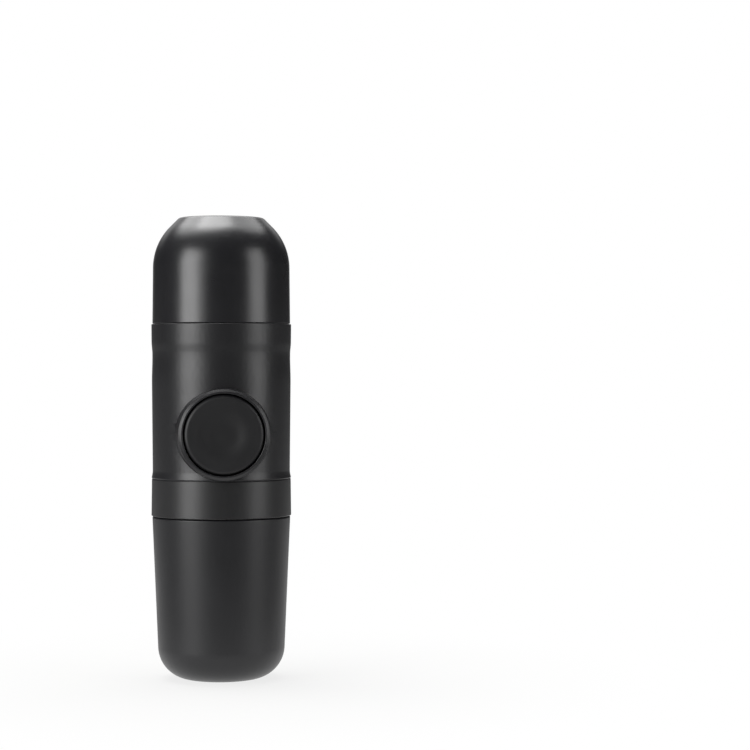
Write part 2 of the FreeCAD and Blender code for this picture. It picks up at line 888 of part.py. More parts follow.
def make_piston_seal():
    low = groove_low + dims.seal_gap
    high = groove_low + dims.piston_groove - dims.seal_gap
    outer = dims.cylinder_bore - dims.seal_fit
    body = tube("piston_seal", groove_radius + dims.seal_gap / 2, outer, low, high)
    soften(body, "SealRound", dims.seal_gap * 5, [(outer, low), (outer, high)])
    lay_on_pump_axis(body)
    return body


def make_knob():
    """A deep cap with a dished face, a rounded rim and a hub on the piston's rod."""
    body = new_body("knob")
    hub_back = knob_inside - dims.hub_length
    skirt_bore = dims.knob_radius - dims.knob_wall
    dish_floor = knob_face - dims.dish_depth
    revolve(body, "Cap", [
        (0, rod_end + dims.seal_gap),
        (hub_bore, rod_end + dims.seal_gap),
        (hub_bore, hub_back),
        (hub_radius, hub_back),
        (hub_radius, knob_inside),
        (skirt_bore, knob_inside),
        (skirt_bore, knob_back),
        (dims.knob_radius, knob_back),
        (dims.knob_radius, knob_face),
        (dims.dish_radius, knob_face),
        (dims.dish_flat_radius, dish_floor),
        (0, dish_floor),
    ])
    soften(body, "RimRound", dims.knob_round, [(dims.knob_radius, knob_face)])
    dish_edges = [(dims.dish_radius, knob_face), (dims.dish_flat_radius, dish_floor)]
    soften(body, "DishRound", dims.dish_round, dish_edges)
    lay_on_pump_axis(body)
    return body


def make_return_spring():
    """The coil between the barrel's cap and the knob, which pushes the knob out."""
    low = cap_front + dims.seal_gap + dims.spring_wire / 2
    high = knob_inside - dims.seal_gap - dims.spring_wire / 2
    body = coil(
        "return_spring", dims.spring_wire, spring_radius, low, high - low,
        dims.spring_turns,
    )
    lay_on_pump_axis(body)
    return body


# ---------------------------------------------------------------- brew chamber

def make_chamber_base():
    """The flanged lower half, with the inlet nozzle under it."""
    body = new_body("chamber_base")
    groove_foot = inlet_tip + dims.nozzle_groove_rise
    groove_head = groove_foot + dims.nozzle_groove_height
    revolve(body, "Base", [
        (dims.nozzle_bore, inlet_tip),
        (dims.nozzle_radius, inlet_tip),
        (dims.nozzle_radius, groove_foot),
        (inlet_groove_radius, groove_foot),
        (inlet_groove_radius, groove_head),
        (dims.nozzle_radius, groove_head),
        (dims.nozzle_radius, chamber_low),
        (chamber_flange_radius, chamber_low),
        (chamber_flange_radius, base_top),
        (chamber_bore, base_top),
        (chamber_bore, chamber_inside),
        (dims.nozzle_bore, chamber_inside),
    ])
    edges = [(chamber_flange_radius, chamber_low), (chamber_flange_radius, base_top)]
    soften(body, "FlangeRound", dims.chamber_edge_round, edges)
    return body


def make_ring_seal(label, groove, outer, low, high):
    """A red silicone ring in its nozzle's groove."""
    low, high = low + dims.seal_gap, high - dims.seal_gap
    body = tube(label, groove + dims.seal_gap / 2, outer, low, high)
    soften(body, "SealRound", dims.seal_gap * 5, [(outer, low), (outer, high)])
    return body


def make_inlet_nozzle_seal():
    low = inlet_tip + dims.nozzle_groove_rise
    high = low + dims.nozzle_groove_height
    return make_ring_seal("inlet_nozzle_seal", inlet_groove_radius, inlet_seal_radius, low, high)


def make_outlet_nozzle_seal():
    high = outlet_tip - dims.outlet_groove_drop
    low = high - dims.outlet_groove_height
    return make_ring_seal("outlet_nozzle_seal", outlet_groove_radius, outlet_seal_radius, low, high)


def make_shower_screen():
    """The perforated disc that spreads the water over the coffee."""
    radius = chamber_bore - dims.basket_side_gap
    body = tube("shower_screen", 0, radius, screen_low, screen_top)
    drill_rings(body, radius, dims.screen_pitch, dims.screen_hole)
    return body


def make_filter_basket():
    """The steel basket, open to the shower screen and lipped at its other end."""
    body = new_body("filter_basket")
    lip_bore = basket_bore - dims.basket_lip
    revolve(body, "Basket", [
        (basket_bore, basket_low),
        (basket_rim_radius, basket_low),
        (basket_rim_radius, basket_rim_top),
        (basket_radius, basket_rim_top),
        (basket_radius, basket_top),
        (lip_bore, basket_top),
        (lip_bore, basket_lip_low),
        (basket_bore, basket_lip_low),
    ])
    return body


def make_filter_disc():
    """The perforated disc that rests against the basket's lip."""
    radius = basket_bore - dims.seat_gap
    body = tube("filter_disc", 0, radius, filter_low, filter_top)
    drill_rings(body, radius, dims.filter_pitch, dims.filter_hole)
    return body


def make_chamber_gasket():
    inner = cover_spigot_radius + dims.seat_gap
    low = base_top + dims.seal_gap
    high = low + dims.chamber_gasket_thickness
    return tube("chamber_gasket", inner, inner + dims.chamber_gasket_width, low, high)


def make_chamber_top():
    """The upper half over the basket, with the outlet nozzle on its roof."""
    body = new_body("chamber_top")
    groove_head = outlet_tip - dims.outlet_groove_drop
    groove_foot = groove_head - dims.outlet_groove_height
    spigot_low = cover_step - dims.cover_spigot_length
    revolve(body, "Cover", [
        (cover_bore, spigot_low),
        (cover_spigot_radius, spigot_low),
        (cover_spigot_radius, cover_step),
        (chamber_radius, cover_step),
        (chamber_radius, cover_top),
        (dims.outlet_nozzle_radius, cover_top),
        (dims.outlet_nozzle_radius, groove_foot),
        (outlet_groove_radius, groove_foot),
        (outlet_groove_radius, groove_head),
        (dims.outlet_nozzle_radius, groove_head),
        (dims.outlet_nozzle_radius, outlet_tip),
        (dims.nozzle_bore, outlet_tip),
        (dims.nozzle_bore, cover_inside),
        (cover_bore, cover_inside),
    ])
    soften(body, "CoverRound", dims.cover_round, [(chamber_radius, cover_top)])
    return body


# ---------------------------------------------------------------- outlet head

def make_head_gasket():
    inner = head_bore + dims.screen_gap
    outer = inner + dims.head_gasket_width
    return tube("head_gasket", inner, outer, head_gasket_low, head_gasket_high)


def make_outlet_head():
    """The inner dome: skirt, flange with a snap bead, dome, outlet recess and nozzle socket."""
    body = new_body("outlet_head")
    flange_top = cup_low + dims.head_flange_height
    bead = cup_low + dims.head_bead_rise
    corner = head_top + head_top_radius - head_radius
    roof_inside = recess_floor - dims.head_roof_thickness
    revolve(body, "Dome", [
        (head_bore, head_low),
        (head_skirt_radius, head_low),
        (head_skirt_radius, cup_low - dims.head_neck_height),
        (head_flange_radius, cup_low),
        (head_flange_radius, bead - dims.head_bead_half),
        (head_bead_radius, bead),
        (head_flange_radius, bead + dims.head_bead_half),
        (head_flange_radius, flange_top),
        (head_radius, flange_top + dims.head_flange_step),
        (head_radius, corner),
        (head_top_radius, head_top),
        (recess_radius, head_top),
        (recess_radius, recess_floor),
        (dims.valve_pocket_radius, recess_floor),
        (dims.valve_pocket_radius, valve_pocket_low),
        (dims.nozzle_bore, valve_pocket_low),
        (dims.nozzle_bore, head_socket_top),
        (head_socket_bore, head_socket_top),
        (head_socket_bore, head_socket_top - dims.head_socket_depth),
        (head_socket_radius, head_socket_top - dims.head_socket_depth),
        (head_socket_radius, roof_inside),
        (head_bore - dims.head_roof_inset, roof_inside),
        (head_bore, roof_inside - dims.head_haunch),
    ])
    soften(body, "DomeRound", dims.head_dome_radius, [(head_radius, corner)])
    return body


def make_outlet_valve():
    radius = dims.valve_pocket_radius - dims.valve_fit
    low = valve_pocket_low + dims.valve_fit
    high = recess_floor - dims.valve_fit
    return tube("outlet_valve", dims.valve_slit, radius, low, high)


def make_outlet_spout():
    """The plate that closes the recess's floor, with the short spout in its middle."""
    body = new_body("outlet_spout")
    low = recess_floor + dims.seal_gap
    edge = recess_radius - dims.spout_fit
    tube_radius = dims.spout_bore + dims.spout_wall
    revolve(body, "Spout", [
        (dims.spout_bore, low),
        (edge, low),
        (edge, low + dims.spout_plate),
        (tube_radius, low + dims.spout_plate),
        (tube_radius, head_top - dims.spout_short),
        (dims.spout_bore, head_top - dims.spout_short),
    ])
    return body


# ---------------------------------------------------------------- cup

def make_cup():
    """The truncated-dome cup, with a thicker lip that grips the head's bead."""
    body = new_body("cup")
    corner = cup_top + cup_top_radius - cup_shoulder_radius
    slant_wall = dims.cup_wall * math.sqrt(2)
    inner_shoulder = cup_shoulder_radius - dims.cup_wall
    inner_corner = corner - slant_wall + dims.cup_wall
    inner_top_radius = cup_top_radius - slant_wall + dims.cup_roof
    lip_top = cup_low + dims.cup_lip_height
    revolve(body, "Dome", [
        (0, cup_inside),
        (inner_top_radius, cup_inside),
        (inner_shoulder, inner_corner),
        (cup_rim_radius - dims.cup_wall, lip_top + dims.cup_lip_slope),
        (cup_lip_bore, lip_top),
        (cup_lip_bore, cup_low),
        (cup_rim_radius, cup_low),
        (cup_shoulder_radius, corner),
        (cup_top_radius, cup_top),
        (0, cup_top),
    ])
    soften(body, "DomeRound", dims.cup_dome_radius, [(cup_shoulder_radius, corner)])
    inner = dims.cup_dome_radius - dims.cup_wall
    soften(body, "InnerRound", inner, [(inner_shoulder, inner_corner)])
    soften(body, "TopRound", dims.cup_top_round, [(cup_top_radius, cup_top)])
    soften(body, "RimRound", dims.cup_rim_round, [(cup_rim_radius, cup_low)])
    return body


pieces = [
    make_water_tank(),
    make_tank_gasket(),
    make_base_ring(),
    make_body_shell(),
    make_pump_chassis(),
    make_nozzle_socket(),
    make_intake_strainer(),
    make_chassis_screws(),
    make_inlet_seat(),
    make_ball("inlet_ball", suction_seat_top),
    make_ball("outlet_ball", delivery_seat),
    make_outlet_spring(),
    make_pump_cylinder(),
    make_cylinder_cap(),
    make_piston(),
    make_piston_seal(),
    make_knob(),
    make_return_spring(),
    make_chamber_base(),
    make_inlet_nozzle_seal(),
    make_shower_screen(),
    make_filter_basket(),
    make_filter_disc(),
    make_chamber_gasket(),
    make_chamber_top(),
    make_outlet_nozzle_seal(),
    make_head_gasket(),
    make_outlet_head(),
    make_outlet_valve(),
    make_outlet_spout(),
    make_cup(),
]
doc.recompute()

for thing in doc.Objects:
    if "Invalid" in thing.State or "Error" in thing.State:
        raise RuntimeError(f"{thing.Label} failed: {thing.State}")
for piece in pieces:
    if piece.Shape.isNull() or not piece.Shape.isValid():
        raise RuntimeError(f"{piece.Label} has no valid shape")

os.makedirs("parts", exist_ok=True)
for piece in pieces:
    piece.Shape.exportStep(f"parts/{piece.Label}.step")
    box = piece.Shape.BoundBox
    print(
        f"{piece.Label:20s} solids {len(piece.Shape.Solids)}"
        f"  x {box.XMin:7.2f} {box.XMax:7.2f}"
        f"  y {box.YMin:7.2f} {box.YMax:7.2f}"
        f"  z {box.ZMin:7.2f} {box.ZMax:7.2f}"
        f"  volume {piece.Shape.Volume / 1000:8.3f} ml"
    )
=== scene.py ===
"""Handheld manual espresso maker: its finishes, its fine pieces, and the studio round it.

Metres, +Z up, origin at the centre of the water tank's base. The pump knob faces -Y.
"""
import math

import bmesh
import bpy
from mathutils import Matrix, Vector


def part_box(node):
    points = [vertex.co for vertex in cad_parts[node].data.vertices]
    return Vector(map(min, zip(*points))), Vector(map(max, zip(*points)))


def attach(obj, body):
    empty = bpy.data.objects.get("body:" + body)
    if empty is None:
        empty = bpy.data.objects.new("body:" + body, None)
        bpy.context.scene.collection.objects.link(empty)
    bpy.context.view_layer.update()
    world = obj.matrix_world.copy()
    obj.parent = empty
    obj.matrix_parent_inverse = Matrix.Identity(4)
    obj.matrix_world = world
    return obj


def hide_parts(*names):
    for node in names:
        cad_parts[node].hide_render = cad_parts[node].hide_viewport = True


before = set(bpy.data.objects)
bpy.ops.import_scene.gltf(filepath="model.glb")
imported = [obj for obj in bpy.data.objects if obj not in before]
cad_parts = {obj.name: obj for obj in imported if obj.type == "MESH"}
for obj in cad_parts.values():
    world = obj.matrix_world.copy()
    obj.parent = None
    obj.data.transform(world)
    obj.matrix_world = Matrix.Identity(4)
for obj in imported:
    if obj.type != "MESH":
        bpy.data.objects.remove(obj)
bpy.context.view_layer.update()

MM = 0.001
TURN = 2 * math.pi


# ---------------------------------------------------------------- materials

def linear(colour):
    """An sRGB hex colour as linear RGBA."""
    channels = [int(colour[at:at + 2], 16) / 255 for at in (1, 3, 5)]
    curve = [c / 12.92 if c <= 0.04045 else ((c + 0.055) / 1.055) ** 2.4 for c in channels]
    return (*curve, 1.0)


def add(tree, kind, inputs={}, **settings):
    """One node, with its settings, its input values and its links."""
    made = tree.nodes.new(kind)
    for name, value in settings.items():
        setattr(made, name, value)
    for name, value in inputs.items():
        socket = made.inputs[name]
        if isinstance(value, bpy.types.NodeSocket):
            tree.links.new(value, socket)
        else:
            socket.default_value = value
    return made


def new_tree(name):
    material = bpy.data.materials.new(name)
    material.use_nodes = True
    material.node_tree.nodes.clear()
    return material, material.node_tree


def moulded_plastic(name, deep, pale, rough, grain, relief, ior=1.5):
    """An injection-moulded thermoplastic with the fine even texture of a spark-eroded tool.

    deep and pale are the tones that the pigment drifts between, rough is the middle of its
    roughness, grain the spacing of the tool's texture and relief its depth, in millimetres.
    """
    material, tree = new_tree(name)
    place = add(tree, "ShaderNodeTexCoord").outputs["Object"]
    # Flow of the melt: the pigment and the shine drift a little over some 20 mm.
    flow = add(tree, "ShaderNodeTexNoise", {
        "Vector": place, "Scale": 1 / (20 * MM), "Detail": 2, "Roughness": 0.4,
    })
    # Tool texture: rounded grains that break up every reflection.
    grains = add(tree, "ShaderNodeTexNoise", {
        "Vector": place, "Scale": 1 / (grain * MM), "Detail": 2, "Roughness": 0.6,
    })
    # Handling: faint upright rubs, about 0.8 mm across and 12 mm long.
    along = add(tree, "ShaderNodeMapping", {
        "Vector": place, "Scale": (1 / (0.8 * MM), 1 / (0.8 * MM), 1 / (12 * MM)),
    })
    rubs = add(tree, "ShaderNodeTexNoise", {"Vector": along.outputs["Vector"], "Scale": 1, "Detail": 3})
    worn = add(tree, "ShaderNodeMapRange", {
        "Value": rubs.outputs["Fac"], "From Min": 0.56, "From Max": 0.74, "To Max": 0.05,
    })
    tone = add(tree, "ShaderNodeMix", {
        0: flow.outputs["Fac"], 6: linear(deep), 7: linear(pale),
    }, data_type="RGBA")
    drift = add(tree, "ShaderNodeMapRange", {
        "Value": flow.outputs["Fac"], "From Min": 0.3, "From Max": 0.7,
        "To Min": rough - 0.02, "To Max": rough + 0.02,
    })
    shine = add(tree, "ShaderNodeMath", {0: drift.outputs["Result"], 1: worn.outputs["Result"]})
    bump = add(tree, "ShaderNodeBump", {
        "Height": grains.outputs["Fac"], "Strength": 1.0, "Distance": relief * MM,
    })
    shader = add(tree, "ShaderNodeBsdfPrincipled", {
        "Base Color": tone.outputs[2], "Roughness": shine.outputs[0], "IOR": ior,
        "Normal": bump.outputs["Normal"],
    })
    add(tree, "ShaderNodeOutputMaterial", {"Surface": shader.outputs["BSDF"]})
    return material


def silicone_rubber(name, deep, pale, rough):
    """A moulded silicone: soft matt skin, a little light let in, and fine settled dust."""
    material, tree = new_tree(name)
    place = add(tree, "ShaderNodeTexCoord").outputs["Object"]
    flow = add(tree, "ShaderNodeTexNoise", {"Vector": place, "Scale": 1 / (3 * MM), "Detail": 3})
    # Dust specks of about 0.3 mm, which a rubber skin holds on to.
    dust = add(tree, "ShaderNodeTexNoise", {"Vector": place, "Scale": 1 / (0.3 * MM), "Detail": 2})
    specks = add(tree, "ShaderNodeMapRange", {
        "Value": dust.outputs["Fac"], "From Min": 0.62, "From Max": 0.8, "To Max": 0.2,
    })
    tone = add(tree, "ShaderNodeMix", {
        0: flow.outputs["Fac"], 6: linear(deep), 7: linear(pale),
    }, data_type="RGBA")
    dusty = add(tree, "ShaderNodeMix", {
        0: specks.outputs["Result"], 6: tone.outputs[2], 7: linear("#9a948e"),
    }, data_type="RGBA")
    shine = add(tree, "ShaderNodeMapRange", {
        "Value": flow.outputs["Fac"], "To Min": rough - 0.06, "To Max": rough + 0.06,
    })
    bump = add(tree, "ShaderNodeBump", {
        "Height": dust.outputs["Fac"], "Strength": 0.6, "Distance": 0.01 * MM,
    })
    shader = add(tree, "ShaderNodeBsdfPrincipled", {
        "Base Color": dusty.outputs[2], "Roughness": shine.outputs["Result"], "IOR": 1.41,
        "Normal": bump.outputs["Normal"],
    })
    add(tree, "ShaderNodeOutputMaterial", {"Surface": shader.outputs["BSDF"]})
    return material


def stainless_steel(name, tone_low, tone_high, rough, lines):
    """Cold-worked stainless steel, with fine tool lines that run round the Z axis.

    lines is the spacing of the tool lines in millimetres. Real ones are about 0.05 mm apart,
    so they are drawn coarser to show.
    """
    material, tree = new_tree(name)
    place = add(tree, "ShaderNodeTexCoord").outputs["Object"]
    across = add(tree, "ShaderNodeMapping", {
        "Vector": place, "Scale": (1 / (6 * MM), 1 / (6 * MM), 1 / (lines * MM)),
    })
    tool = add(tree, "ShaderNodeTexNoise", {"Vector": across.outputs["Vector"], "Scale": 1, "Detail": 3})
    cloud = add(tree, "ShaderNodeTexNoise", {"Vector": place, "Scale": 1 / (8 * MM), "Detail": 2})
    tone = add(tree, "ShaderNodeMix", {
        0: cloud.outputs["Fac"], 6: linear(tone_low), 7: linear(tone_high),
    }, data_type="RGBA")
    shine = add(tree, "ShaderNodeMapRange", {
        "Value": tool.outputs["Fac"], "From Min": 0.3, "From Max": 0.7,
        "To Min": rough - 0.05, "To Max": rough + 0.07,
    })
    bump = add(tree, "ShaderNodeBump", {
        "Height": tool.outputs["Fac"], "Strength": 0.5, "Distance": 0.008 * MM,
    })
    shader = add(tree, "ShaderNodeBsdfPrincipled", {
        "Base Color": tone.outputs[2], "Metallic": 1.0, "Roughness": shine.outputs["Result"],
        "Normal": bump.outputs["Normal"],
    })
    add(tree, "ShaderNodeOutputMaterial", {"Surface": shader.outputs["BSDF"]})
    return material


# ABS off a lightly textured tool: a black with a soft, clear shine.
cup_abs = moulded_plastic("satin_black_abs_lid", "#17171a", "#1b1b1d", 0.29, 0.22, 0.0015, 1.55)
# The same ABS off a coarser tool: a black whose highlights are wider and weaker.
shell_abs = moulded_plastic("satin_black_abs_shell", "#18181a", "#1c1c1e", 0.36, 0.25, 0.002)
# Collar: the shell's plastic in a slightly paler batch, off a slightly duller tool.
collar_abs = moulded_plastic("satin_black_abs_collar", "#1b1b1c", "#1f1f20", 0.385, 0.25, 0.002)
# Polypropylene, which is greyer, softer and duller than ABS.
tank_pp = moulded_plastic("matt_charcoal_polypropylene", "#141416", "#18181b", 0.4, 0.28, 0.0025)
# Knob: matt ABS that hides finger marks.
knob_abs = moulded_plastic("matt_black_abs_knob", "#101012", "#141416", 0.5, 0.25, 0.0025)
# Glass-filled nylon: a dry grey black with a visible fibre bloom.
core_nylon = moulded_plastic("glass_filled_nylon", "#242526", "#2e2f30", 0.5, 0.35, 0.005, 1.53)
red_seal = silicone_rubber("red_silicone_rubber", "#84201f", "#962c2b", 0.42)
dark_seal = silicone_rubber("black_silicone_rubber", "#202021", "#29292a", 0.5)
clear_seal = silicone_rubber("natural_silicone_rubber", "#c4c3be", "#d6d5d0", 0.45)
pressed_steel = stainless_steel("pressed_stainless_steel", "#c4c2be", "#d2d0cc", 0.27, 0.5)

FINISHES = {
    "black_plastic": shell_abs,
    "tank_plastic": tank_pp,
    "knob_plastic": knob_abs,
    "core_plastic": core_nylon,
    "red_silicone": red_seal,
    "dark_silicone": dark_seal,
    "clear_silicone": clear_seal,
    "steel": pressed_steel,
}
OWN_FINISHES = {"cup": cup_abs, "outlet_head": cup_abs, "base_ring": collar_abs}

for name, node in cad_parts.items():
    for place in node.material_slots:
        place.material = OWN_FINISHES.get(name, FINISHES[place.material.name])


# ---------------------------------------------------------------- modelling

def deselect():
    bpy.ops.object.select_all(action="DESELECT")


def pick(piece, keep):
    """In edit mode, select the vertices whose places pass the test, and nothing else."""
    bpy.ops.mesh.select_mode(type="VERT")
    bpy.ops.mesh.select_all(action="DESELECT")
    mesh = bmesh.from_edit_mesh(piece.data)
    for point in mesh.verts:
        point.select = keep(point.co)
    mesh.select_flush(True)
    bmesh.update_edit_mesh(piece.data)


def pick_edges(piece, keep):
    """In edit mode, select the edges whose middles pass the test, and nothing else."""
    bpy.ops.mesh.select_mode(type="EDGE")
    bpy.ops.mesh.select_all(action="DESELECT")
    mesh = bmesh.from_edit_mesh(piece.data)
    for edge in mesh.edges:
        edge.select = keep(edge)
    mesh.select_flush_mode()
    bmesh.update_edit_mesh(piece.data)


def finish_piece(piece, body, material, sharp=35):
    """Smooth the shading up to a sharp angle, give the finish, and ride on the body."""
    bpy.ops.object.mode_set(mode="OBJECT")
    bpy.ops.object.shade_smooth_by_angle(angle=math.radians(sharp))
    piece.data.materials.clear()
    piece.data.materials.append(material)
    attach(piece, body)


def turn_piece(name, corners, steps=96):
    """A closed ring of revolution, drawn corner by corner from (radius, height) in millimetres.

    A circle at the first corner is extruded and scaled through the others and back to itself.
    """
    deselect()
    radius, height = corners[0]
    bpy.ops.mesh.primitive_circle_add(
        vertices=steps, radius=radius * MM, location=(0, 0, height * MM),
    )
    piece = bpy.context.object
    piece.name = name
    bpy.ops.object.transform_apply(location=True, rotation=True, scale=True)
    bpy.ops.object.mode_set(mode="EDIT")
    bpy.ops.mesh.select_all(action="SELECT")
    for next_radius, next_height in corners[1:] + corners[:1]:
        bpy.ops.mesh.extrude_region_move(
            TRANSFORM_OT_translate={"value": (0, 0, (next_height - height) * MM)},
        )
        grow = next_radius / radius
        bpy.ops.transform.resize(value=(grow, grow, 1), center_override=(0, 0, next_height * MM))
        radius, height = next_radius, next_height
    bpy.ops.mesh.select_all(action="SELECT")
    bpy.ops.mesh.remove_doubles(threshold=0.001 * MM)
    bpy.ops.mesh.normals_make_consistent(inside=False)
    return piece


def round_rings(piece, rings, offset, segments=4):
    """In edit mode, round the ring edges that lie at the given (radius, height) places."""
    near = 0.01

    def on_ring(edge):
        ends = [(point.co.xy.length / MM, point.co.z / MM) for point in edge.verts]
        return any(
            all(abs(across - radius) < near and abs(up - height) < near for across, up in ends)
            for radius, height in rings
        )

    pick_edges(piece, on_ring)
    bpy.ops.mesh.bevel(
        offset_type="OFFSET", offset=offset * MM, segments=segments, profile=0.5,
        affect="EDGES", clamp_overlap=True,
    )


def thread_ridge(name, root, crest, foot, land, low, lead, turns, start, steps=96):
    """One ridge of a right-handed screw thread, run out into the wall at both ends.

    root and crest are its radii, foot and land its widths there, low the height of its first
    section and lead its rise in a turn, in millimetres. start is an angle in degrees.
    """
    deselect()
    middle = (root + crest) / 2
    bpy.ops.mesh.primitive_plane_add(size=1, location=(middle * MM, 0, low * MM),
                                     rotation=(math.pi / 2, 0, 0))
    piece = bpy.context.object
    piece.name = name
    bpy.ops.object.transform_apply(location=True, rotation=True, scale=True)
    bpy.ops.object.mode_set(mode="EDIT")
    bpy.ops.mesh.select_all(action="SELECT")
    centre = (middle * MM, 0, low * MM)
    bpy.ops.transform.resize(value=(abs(crest - root) * MM, 1, foot * MM), center_override=centre)
    outwards = crest > root
    pick(piece, lambda co: (co.x > middle * MM) == outwards)
    bpy.ops.transform.resize(value=(1, 1, land / foot), center_override=centre)
    # The section's corners are rounded by about a fifth of its crest.
    rounding = 0.22 * land
    bpy.ops.mesh.bevel(offset_type="OFFSET", offset=rounding * MM, segments=4,
                       affect="VERTICES", clamp_overlap=True)
    bpy.ops.mesh.select_all(action="SELECT")
    bpy.ops.mesh.delete(type="ONLY_FACE")
    bpy.ops.object.mode_set(mode="OBJECT")

    screw = piece.modifiers.new("screw", "SCREW")
    screw.axis = "Z"
    screw.angle = TURN * turns
    screw.screw_offset = lead * turns * MM
    screw.steps = screw.render_steps = int(steps * turns)
    screw.use_merge_vertices = False
    bpy.ops.object.modifier_apply(modifier=screw.name)

    bpy.ops.object.mode_set(mode="EDIT")
    run_out_end(piece, Vector(centre), 0, root, lead, -1)
    last = Vector((
        middle * MM * math.cos(TURN * turns), middle * MM * math.sin(TURN * turns),
        (low + lead * turns) * MM,
    ))
    run_out_end(piece, last, TURN * turns, root, lead, 1)
    bpy.ops.mesh.select_all(action="SELECT")
    bpy.ops.transform.rotate(value=-math.radians(start), orient_axis="Z", center_override=(0, 0, 0))
    bpy.ops.mesh.normals_make_consistent(inside=False)
    return piece


def run_out_end(piece, centre, angle, root, lead, way):
    """Close a ridge's end section, and draw it on round the axis while it sinks into the wall."""
    # The end section lies flat across the ridge, and less than half a turn's rise from its centre.
    flat, reach = 0.002 * MM, 0.45 * lead * MM
    side = Vector((-math.sin(angle), math.cos(angle), 0))
    pick(piece, lambda co: abs((co - centre).dot(side)) < flat and (co - centre).length < reach)
    bpy.ops.mesh.edge_face_add()
    # It is drawn on in steps of 5 degrees, and each leaves this share of the section before.
    step = math.radians(5)
    for share in (0.8, 0.65, 0.35):
        bpy.ops.mesh.extrude_region_move(
            TRANSFORM_OT_translate={"value": (0, 0, way * lead * step / TURN * MM)},
        )
        bpy.ops.transform.rotate(value=-way * step, orient_axis="Z", center_override=(0, 0, 0))
        angle += way * step
        centre = Vector((centre.x, centre.y, centre.z + way * lead * step / TURN * MM))
        wall = (root * MM * math.cos(angle), root * MM * math.sin(angle), centre.z)
        bpy.ops.transform.resize(value=(share, share, share), center_override=wall)


# Tank thread: 4 mm pitch, one start. The collar's ridge runs half a pitch beside the neck's.
TANK_PITCH = 4.0
neck_thread = thread_ridge(
    "neck_thread", root=25.95, crest=26.95, foot=2.0, land=1.0,
    low=72.6, lead=TANK_PITCH, turns=1.75, start=200,
)
finish_piece(neck_thread, "tank", tank_pp)
collar_thread = thread_ridge(
    "collar_thread", root=27.35, crest=26.4, foot=1.8, land=0.9,
    low=71.6, lead=TANK_PITCH, turns=1.75, start=290,
)
finish_piece(collar_thread, "main_body", collar_abs)

# Head thread: 8 mm lead, two starts, so its crests stand 4 mm apart.
HEAD_LEAD = 8.0
for start in range(2):
    skirt_thread = thread_ridge(
        f"skirt_thread_{start}", root=25.25, crest=27.0, foot=3.0, land=1.9,
        low=143.6, lead=HEAD_LEAD, turns=0.85, start=170 + 180 * start,
    )
    finish_piece(skirt_thread, "head", cup_abs)
    mouth_thread = thread_ridge(
        f"mouth_thread_{start}", root=28.35, crest=26.7, foot=2.0, land=0.9,
        low=143.6, lead=HEAD_LEAD, turns=0.85, start=260 + 180 * start,
    )
    finish_piece(mouth_thread, "main_body", shell_abs)


def ring_seal(node, body):
    """A moulded ring seal: round in section, with the fine flash line of its mould round it."""
    thickness, flash_height, flash_half_width = 1.4, 0.02, 0.05
    low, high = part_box(node)
    outer, foot, head = high[0] / MM, low[2] / MM, high[2] / MM
    inner, skin = outer - thickness, outer - flash_height
    middle = (foot + head) / 2
    piece = turn_piece(f"{node}_moulded", [
        (inner, foot), (skin, foot), (skin, middle - flash_half_width), (outer, middle),
        (skin, middle + flash_half_width), (skin, head), (inner, head),
    ])
    # Rounded by nearly half its height, the section comes out nearly round.
    rounding = 0.44 * (head - foot)
    round_rings(piece, [(inner, foot), (skin, foot), (skin, head), (inner, head)], rounding, segments=8)
    finish_piece(piece, body, red_seal, sharp=60)
    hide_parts(node)


ring_seal("inlet_nozzle_seal", "chamber_bottom")
ring_seal("outlet_nozzle_seal", "chamber_cover")


def waisted_shell():
    """The shell with the band at its rim standing proud: below it the wall is drawn in.

    A copy of the shell is cut into rings, whose outer corners are set on the wall's true cone.
    Its rim is let in a little, to lie under shell_rim. Drops are counted down from the rim.
    """
    foot_radius, rim_radius, on_wall = 29.4, 30.0, 0.05
    band, deepest, end, waist = 7.6, 13.0, 25.0, 0.32
    rim_drop, rim_inside, let_in = 0.5, 29.0, 0.1
    fine_step, coarse_start, coarse_step, coarse_rings = 0.6, 0.9, 1.2, 54
    low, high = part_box("body_shell")
    foot, rim = low[2] / MM, high[2] / MM
    deselect()
    piece = bpy.data.objects.new("waisted_shell", bpy.data.objects["body_shell"].data.copy())
    bpy.context.scene.collection.objects.link(piece)
    bpy.context.view_layer.objects.active = piece
    piece.select_set(True)
    bpy.ops.mesh.customdata_custom_splitnormals_clear()
    bpy.ops.object.mode_set(mode="EDIT")
    bpy.ops.mesh.select_all(action="SELECT")
    bpy.ops.mesh.remove_doubles(threshold=0.001 * MM)
    fine = [fine_step] + [band + fine_step * step for step in range(9)]
    coarse = [coarse_start + coarse_step * step for step in range(coarse_rings)]
    coarse = [drop for drop in coarse if not band < drop < deepest]
    for drop in fine + coarse:
        bpy.ops.mesh.select_all(action="SELECT")
        bpy.ops.mesh.bisect(plane_co=(0, 0, (rim - drop) * MM), plane_no=(0, 0, 1))
    bpy.ops.object.mode_set(mode="OBJECT")
    for vertex in piece.data.vertices:
        radius = math.hypot(vertex.co.x, vertex.co.y) / MM
        height = vertex.co.z / MM
        wall = foot_radius + (rim_radius - foot_radius) * (height - foot) / (rim - foot)
        drop = rim - height
        if drop < rim_drop and radius > rim_inside:
            vertex.co.x *= 1 - let_in / radius
            vertex.co.y *= 1 - let_in / radius
            vertex.co.z -= let_in * MM
        elif abs(radius - wall) < on_wall:
            part = min((drop - band) / (deepest - band), (end - drop) / (end - deepest))
            part = min(max(part, 0.0), 1.0)
            drawn = wall - waist * part * part * (3 - 2 * part)
            vertex.co.x *= drawn / radius
            vertex.co.y *= drawn / radius
    finish_piece(piece, "main_body", shell_abs, sharp=42)
    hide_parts("body_shell")


